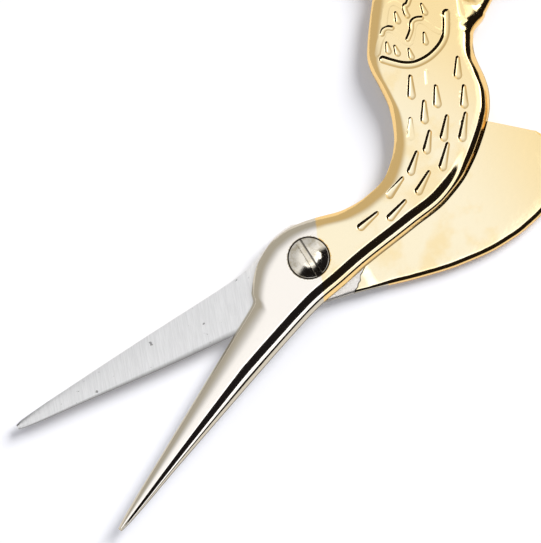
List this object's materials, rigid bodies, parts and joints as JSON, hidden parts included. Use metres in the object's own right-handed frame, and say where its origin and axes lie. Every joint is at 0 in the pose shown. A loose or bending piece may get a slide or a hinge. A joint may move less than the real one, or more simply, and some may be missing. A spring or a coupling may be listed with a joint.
{
  "type": "stork embroidery scissors",
  "caption": "Small stork-shaped embroidery scissors: slender pointed blades as the beak, gilt body with feather marks, oval finger bows, slotted pivot screw.",
  "frame": {"origin": "pivot axis, on the plane that the scissors rest on", "axes": "+X along the centre line between the opened blades, towards the tips; +Z along the pivot axis, out of the front half and the screw head"},
  "size_m": [0.0908, 0.0675, 0.0043],
  "materials": {
    "front_plating": "polished gold plate on the neck, wing and bow, polished nickel plate on the blade, over steel",
    "rear_plating": "gold plate on the body and bow, ground and brushed steel inside the blade and round the pivot",
    "screw_plating": "polished nickel plate"
  },
  "bodies": {
    "rear": {"rear_half": "rear_plating", "pivot_screw": "screw_plating"},
    "front": {"front_half": "front_plating"}
  },
  "joints": [
    {"name": "pivot", "type": "hinge", "parent": "rear", "child": "front", "pos_m": [0, 0, 0], "axis": [0, 0, 1], "range_deg": [-25, 95]}
  ]
}
